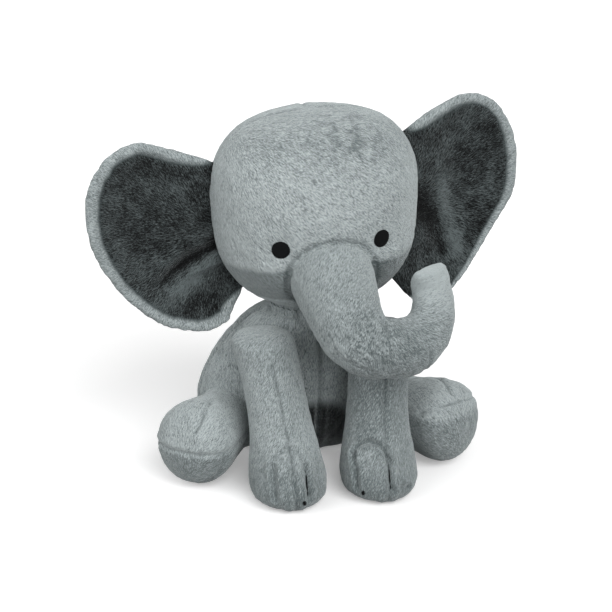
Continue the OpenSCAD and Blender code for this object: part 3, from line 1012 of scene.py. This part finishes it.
def make_eye(side, head, material):
    """A disc of satin stitch: threads side by side, with ends that show at the edge."""
    name, points, thread_pitch = f"eye_{side}", 96, 0.42 * MM
    centre, tree = middle(name), skin_tree(head)
    at, normal = tree.find_nearest(centre)[:2]
    normal = (normal + (at - middle("head_stuffing")).normalized() * 3).normalized()
    across = normal.cross(Vector((0, 0, 1))).normalized()
    up = across.cross(normal)
    lo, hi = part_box(name)
    radius = (hi[2] - lo[2]) / 2
    rows = []
    for k, r in enumerate(np.concatenate([[1.0, 1.0], np.linspace(0.97, 0.04, 15)])):
        row = []
        for i in range(points):
            a = 2 * math.pi * i / points
            ragged = 1 + (0.022 * math.sin(23 * a) + 0.018 * math.sin(37 * a + 1)) * r ** 6
            u, v = radius * r * ragged * math.cos(a), radius * r * ragged * math.sin(a)
            spot = at + across * u + up * v
            base = tree.ray_cast(spot + normal * 0.01, -normal)[0] or spot
            if k == 0:
                height = -0.8
            else:
                dome = 0.15 + 0.55 * (1 - r ** 4)
                height = dome + 0.09 * abs(math.sin(math.pi * v / thread_pitch))
            row.append(base + normal * height * MM)
        rows.append(row)
    finish_detail(grid_mesh(f"{name}_stitching", rows), material, "head", name)


def stitch_tube(path, radius, sides=8, lumps=0.0):
    """Rings round a path that taper at both ends."""
    rows = []
    for k, p in enumerate(path):
        ahead = (path[min(k + 1, len(path) - 1)] - path[max(k - 1, 0)]).normalized()
        across = ahead.orthogonal().normalized()
        up = ahead.cross(across)
        t = k / (len(path) - 1)
        r = radius * (0.35 + 0.65 * min(1, 6 * t, 6 * (1 - t))) * (1 + lumps * math.sin(2.4 * k))
        rows.append([p + (across * math.cos(2 * math.pi * i / sides)
                          + up * math.sin(2 * math.pi * i / sides)) * r for i in range(sides)])
    return rows


def merge(name, parts):
    bm = bmesh.new()
    for part in parts:
        bm.from_mesh(part.data)
        bpy.data.objects.remove(part)
    mesh = bpy.data.meshes.new(name)
    bm.to_mesh(mesh)
    bm.free()
    mesh.shade_smooth()
    return new_object(name, mesh)


def make_toe_stitches(side, leg, material):
    name = f"front_leg_{side}_toe_stitches"
    lo, hi = (Vector(c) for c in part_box(name))
    tree, ahead, parts, points = skin_tree(leg), lo.y - 0.03, [], 14
    # The second thread of each foot shows plainly, and the first is sunk in the pile
    for x, sunk in zip(THREADS[side], (0.6, 0.1)):
        path = [on_front(tree, x * MM, ahead, hi.z - (hi.z - lo.z) * 0.8 * k / (points - 1))
                + mm(0, sunk, 0) for k in range(points)]
        for _ in range(3):
            path[1:-1] = [(a + b + c) / 3 for a, b, c in zip(path, path[1:], path[2:])]
        parts.append(grid_mesh("thread", stitch_tube(path, 0.5 * MM, 8, 0.15)))
    knot = on_front(tree, KNOT[side] * MM, ahead, lo.z + 0.0012) - mm(0, 0.1, 0)
    ball = [knot + mm(1.8 * (k / 6 - 0.5), 0, 0.3 * (k % 2)) for k in range(7)]
    parts.append(grid_mesh("knot", stitch_tube(ball, 1.4 * MM, 10, 0.2)))
    finish_detail(merge(f"{name}_thread", parts), material, f"front_leg_{side}", name)


def make_closing_stitch(torso, material):
    """Ladder stitch: short rungs across the closed opening."""
    rungs, points, rung_length = 12, 7, 4.2 * MM
    lo, hi = (Vector(c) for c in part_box("closing_stitch"))
    tree, parts = skin_tree(torso), []
    for k in range(rungs):
        z = lo.z + (hi.z - lo.z) * (k + 0.5) / rungs
        path = []
        for j in range(points):
            x = (lo.x + hi.x) / 2 + (j / (points - 1) - 0.5) * rung_length
            hit = tree.ray_cast(Vector((x, hi.y + 0.03, z + 0.0003 * j)), Vector((0, -1, 0)))[0]
            if hit:
                path.append(hit + mm(0, 0.2, 0))
        if len(path) > points // 2:
            parts.append(grid_mesh("rung", stitch_tube(path, 0.3 * MM)))
    finish_detail(merge("closing_ladder_stitch", parts), material, "torso", "closing_stitch")


def make_neck_stitch(material):
    """Running stitches round the neck, each a little slanted."""
    stitches, points, stitch_share = 40, 5, 0.62
    centre = pivots["neck_nod"]
    lo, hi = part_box("neck_stitch_ring")
    radius, pitch = (hi[0] - lo[0]) / 2, 2 * math.pi / stitches
    parts = []
    for k in range(stitches):
        path = []
        for j in range(points):
            a = pitch * (k + stitch_share * j / (points - 1))
            path.append(centre + Vector((radius * math.cos(a), radius * math.sin(a),
                                         (0.4 - 0.2 * j) * MM)))
        parts.append(grid_mesh("stitch", stitch_tube(path, 0.35 * MM)))
    obj = merge("neck_stitches", parts)
    finish_detail(obj, material, None, "neck_stitch_ring")
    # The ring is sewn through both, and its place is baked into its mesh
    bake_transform(obj)


def make_label(torso, material):
    """A blank folded tape that comes out of the seam and curls a little."""
    rows_down, across, half_thick = 14, 16, 0.22 * MM
    lo, hi = (Vector(c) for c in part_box("care_label"))
    tree = skin_tree(torso)
    rows = []
    for k in range(rows_down + 1):
        t = k / rows_down
        z = hi.z - (hi.z - lo.z) * t
        hit = tree.ray_cast(Vector(((lo.x + hi.x) / 2, hi.y + 0.05, z)), Vector((0, -1, 0)))[0]
        y = (hit.y if hit else hi.y) + (0.6 + 2.2 * t * t) * MM
        row = []
        there, back = range(across + 1), range(across, -1, -1)
        for side, count in ((half_thick, there), (-half_thick, back)):
            for i in count:
                x = lo.x + (hi.x - lo.x) * i / across
                wave = 0.5 * MM * math.sin(3 * i / across * math.pi) * t
                row.append(Vector((x, y + wave + side, z)))
        rows.append(row)
    finish_detail(grid_mesh("care_label_tape", rows), material, "torso", "care_label")


def make_filling(node, body, cover, material):
    """A lump of loose fibre in the place of a CAD filling, kept inside the skin round it."""
    thin = node.startswith(("ear", "tail"))
    voxel, lump, inset = (2.0, 0.2, 0.7 * MM) if thin else (3.5, 0.8, 1.6 * MM)
    in_trunk = node in TRUNK_FIBRE
    obj = remesh(from_nodes(f"{node}_fibre", TRUNK_FIBRE if in_trunk else [node]), voxel)
    smooth(obj, 3)
    co, normal = points_of(obj.data), normals_of(obj.data)
    lumps = noise(co / (9 * MM), 5) + 0.5 * noise(co / (4 * MM), 6)
    co = co + normal * ((lumps - 1.2) * lump * MM)[:, None]
    tree = skin_tree(cover)
    for i, p in enumerate(co):
        at, out = tree.find_nearest(p)[:2]
        if (Vector(p) - at).dot(out) > -inset:
            co[i] = at - out * inset
    set_points(obj.data, co)
    if in_trunk:
        keep_beside_cut(obj, -1 if node == TRUNK_FIBRE[0] else 1)
    obj.data.shade_smooth()
    dress(obj, material)
    if body in bends:
        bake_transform(obj)
    else:
        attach(obj, body)
    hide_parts(node)


# ---- Studio ----

def toward(azimuth, elevation):
    """The unit vector from the toy towards a place in the room. 0 degrees is in front of it."""
    a, e = math.radians(azimuth), math.radians(elevation)
    return Vector((math.sin(a) * math.cos(e), -math.cos(a) * math.cos(e), math.sin(e)))


def look_from(azimuth, elevation, distance, aim, right_of, above):
    """The camera, aimed a little to the right of and above a point."""
    back = toward(azimuth, elevation)
    right = Vector((math.cos(math.radians(azimuth)), math.sin(math.radians(azimuth)), 0))
    up = back.cross(right)
    camera = bpy.data.objects.new("camera", bpy.data.cameras.new("camera"))
    scene.collection.objects.link(camera)
    camera.data.lens = 106
    camera.data.sensor_width = 36
    camera.data.clip_start, camera.data.clip_end = 0.05, 20
    camera.location = aim + right * right_of + up * above + back * distance
    camera.rotation_mode = "QUATERNION"
    camera.rotation_quaternion = back.to_track_quat("Z", "Y")
    scene.camera = camera


def sun(name, azimuth, elevation, strength, softness):
    data = bpy.data.lights.new(name, "SUN")
    data.energy, data.angle = strength, math.radians(softness)
    light = bpy.data.objects.new(name, data)
    scene.collection.objects.link(light)
    light.rotation_mode = "QUATERNION"
    light.rotation_quaternion = toward(azimuth, elevation).to_track_quat("Z", "Y")


def make_room():
    """A room that is white at eye level and above it, and dark below the floor."""
    world = bpy.data.worlds.new("studio")
    scene.world = world
    world.use_nodes = True
    tree = world.node_tree
    where = tree.nodes.new("ShaderNodeTexCoord")
    split = tree.nodes.new("ShaderNodeSeparateXYZ")
    ramp = tree.nodes.new("ShaderNodeValToRGB")
    tree.links.new(where.outputs["Generated"], split.inputs[0])
    tree.links.new(split.outputs["Z"], ramp.inputs["Fac"])
    tree.links.new(ramp.outputs["Color"], tree.nodes["Background"].inputs["Color"])
    stops = ((0.0, 0.10), (0.004, 0.95), (0.25, 0.75), (1.0, 0.25))
    for k, (place, level) in enumerate(stops):
        stop = ramp.color_ramp.elements[k] if k < 2 else ramp.color_ramp.elements.new(place)
        stop.position, stop.color = place, (level, level, level, 1)


def make_floor():
    """A wide pale floor. A little light of its own keeps the toy's shadow faint on it."""
    reach = 20.0
    corners = [(-reach, -reach, 0), (reach, -reach, 0), (reach, reach, 0), (-reach, reach, 0)]
    mesh = bpy.data.meshes.new("floor")
    mesh.from_pydata(corners, [], [(0, 1, 2, 3)])
    floor = new_object("floor", mesh)
    n = Nodes("pale_floor")
    n.shader.inputs["Base Color"].default_value = (0.95, 0.95, 0.95, 1)
    n.shader.inputs["Roughness"].default_value = 0.9
    n.shader.inputs["Emission Color"].default_value = (1, 1, 1, 1)
    n.shader.inputs["Emission Strength"].default_value = 0.22
    floor.data.materials.append(n.material)
    floor.visible_diffuse = False


def make_studio():
    look_from(-12, 20, 1.1, mm(0, 0, 115), -6.1 * MM, -11 * MM)
    sun("key", 14, 33, 2.7, 50)
    sun("side", -70, 22, 1.3, 60)
    make_room()
    make_floor()
    scene.view_settings.view_transform = "Standard"


# ---- The toy ----

make_studio()
# One grey plush, set at a different level on each part as painted light and shade; the body plush's second colour
# is painted shadow on the belly
body_plush = plush("grey_plush", 156, other=13)
leg_plush = plush("leg_plush", 150)
trunk_plush = plush("trunk_plush", 146)
head_plush = plush("face_plush", 164, other=110)
ear_plush = plush("ear_plush", 156, other=34, swing=(0.1, 3.0), sheen=0.3)
black = thread("black_thread", 9)
grey_thread = thread("grey_thread", 120)
fibre = fibre_fill()

head = make_head(head_plush)
torso = make_torso(body_plush)
make_neck(body_plush)
trunk = make_trunk(trunk_plush)
covers = {"head": head, "torso": torso, "tail": make_tail(body_plush),
          "trunk_root": trunk, "trunk_tip": trunk}
for side in ("left", "right"):
    covers[f"ear_{side}"] = make_ear(side, head, ear_plush)
    leg = covers[f"front_leg_{side}"] = make_front_leg(side, leg_plush)
    make_toe_stitches(side, leg, black)
    covers[f"hind_leg_{side}"] = make_hind_leg(side, body_plush)
    make_eye(side, head, black)
make_closing_stitch(torso, grey_thread)
make_neck_stitch(grey_thread)
make_label(torso, label_tape())
# The neck's filling is shown by the neck's own skin
for body, members in frame["record"]["behaviour"]["bodies"].items():
    for member in members:
        if member.endswith(("stuffing", "batting")) and member != "neck_stuffing":
            make_filling(member, body, covers[body], fibre)
bpy.data.objects.remove(trunk)
